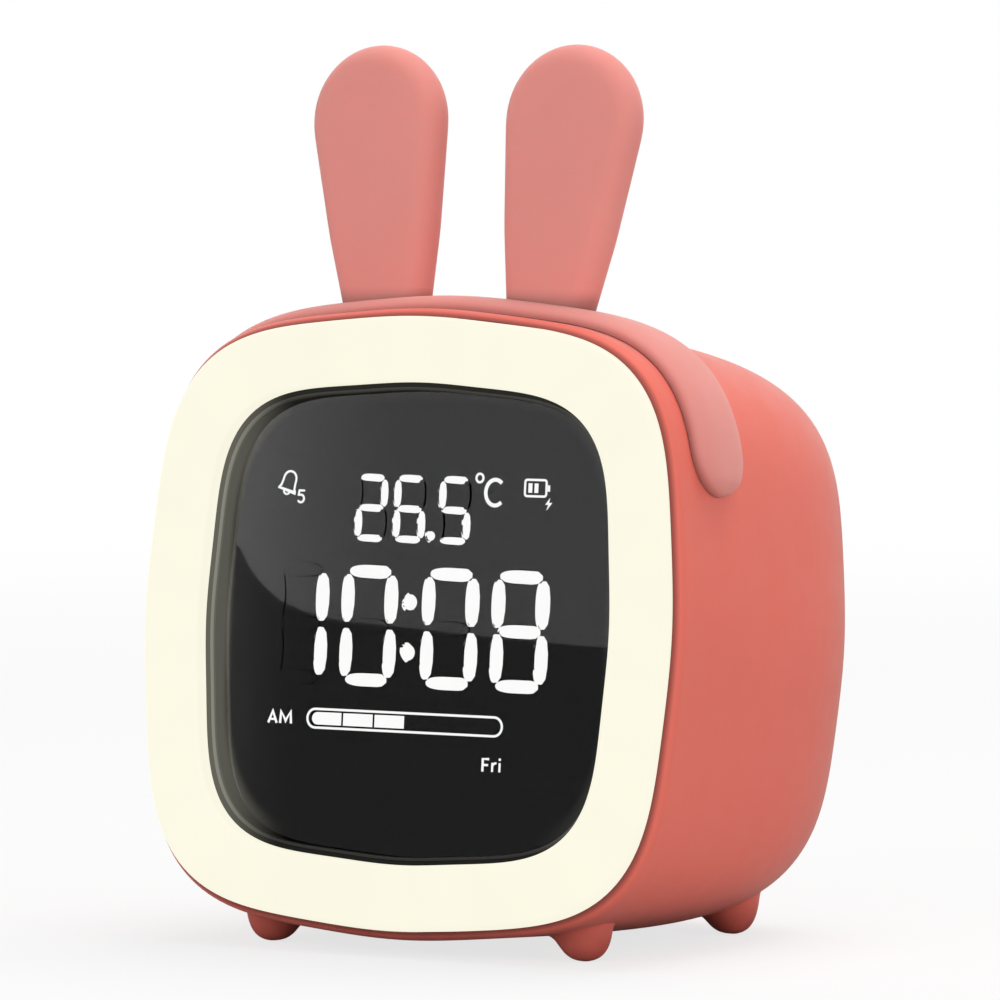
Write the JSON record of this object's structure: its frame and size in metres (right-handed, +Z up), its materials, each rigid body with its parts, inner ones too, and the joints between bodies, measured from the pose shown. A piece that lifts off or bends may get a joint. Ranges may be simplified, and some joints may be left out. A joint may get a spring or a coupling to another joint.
{
  "type": "kids alarm clock with night light",
  "caption": "Soft cube digital alarm clock with a night light ring round a sunk display, nub feet, rear buttons and a pull-off silicone headband with rabbit ears.",
  "frame": {"origin": "on the table, under the middle of the clock's bounding box", "axes": "+Z up; +Y from the display towards the rear cover; +X to the right as seen from the front"},
  "size_m": [0.102, 0.0824, 0.1451],
  "materials": {
    "case_coral": "soft satin",
    "diffuser_cream": "milky, lit from behind",
    "bezel_black": "gloss",
    "window_smoked": "gloss, smoked",
    "block_black": "matt",
    "segment_white": "milky",
    "board_green": "solder mask",
    "board_white": "solder mask",
    "screw_steel": "zinc plated",
    "frame_white": "satin",
    "led_amber": "clear resin",
    "cell_foil": "foil pouch",
    "pad_foam": "foam",
    "lead_red": "insulation",
    "lead_black": "insulation",
    "chip_black": "moulded",
    "parts_blue": "sleeved",
    "socket_cream": "satin",
    "ribbon_grey": "satin",
    "switch_black": "satin",
    "button_cream": "satin",
    "socket_steel": "nickel plated",
    "speaker_steel": "satin",
    "cone_black": "coated paper",
    "magnet_grey": "sintered",
    "sensor_black": "dipped",
    "silicone_pink": "soft matt"
  },
  "bodies": {
    "case": {"outer_shell": "case_coral", "diffuser_ring": "diffuser_cream", "window_bezel": "bezel_black", "display_window": "window_smoked", "digit_block": "block_black", "digit_segments": "segment_white", "display_board": "board_green", "display_board_screws": "screw_steel", "front_frame": "frame_white", "front_frame_screws": "screw_steel", "light_board": "board_white", "light_leds": "led_amber", "battery_cell": "cell_foil", "battery_pad": "pad_foam", "battery_lead": "lead_red", "rear_cover": "case_coral", "rear_cover_screws": "screw_steel", "main_board": "board_green", "main_board_screws": "screw_steel", "controller_chip": "chip_black", "board_parts": "parts_blue", "ribbon_sockets": "socket_cream", "ribbon_cable": "ribbon_grey", "tact_switches": "switch_black", "usb_socket": "socket_steel", "speaker_grille": "case_coral", "speaker_frame": "speaker_steel", "speaker_cone": "cone_black", "speaker_magnet": "magnet_grey", "speaker_lead": "lead_black", "temperature_sensor": "sensor_black"},
    "button_set": {"button_set": "button_cream"},
    "button_up": {"button_up": "button_cream"},
    "button_down": {"button_down": "button_cream"},
    "button_light": {"button_light": "button_cream"},
    "ear_headband": {"ear_headband": "silicone_pink"}
  },
  "joints": [
    {"name": "set_press", "type": "slide", "parent": "case", "child": "button_set", "axis": [0, -0.9962, 0.0872], "range_m": [0, 0.0006], "stiffness_N_per_m": 900},
    {"name": "up_press", "type": "slide", "parent": "case", "child": "button_up", "axis": [0, -0.9962, 0.0872], "range_m": [0, 0.0006], "stiffness_N_per_m": 900},
    {"name": "down_press", "type": "slide", "parent": "case", "child": "button_down", "axis": [0, -0.9962, 0.0872], "range_m": [0, 0.0006], "stiffness_N_per_m": 900},
    {"name": "light_press", "type": "slide", "parent": "case", "child": "button_light", "axis": [0, -0.9962, 0.0872], "range_m": [0, 0.0006], "stiffness_N_per_m": 900},
    {"name": "headband_lift", "type": "slide", "parent": "case", "child": "ear_headband", "axis": [0, 0.0872, 0.9962], "range_m": [0, 0.046]}
  ]
}
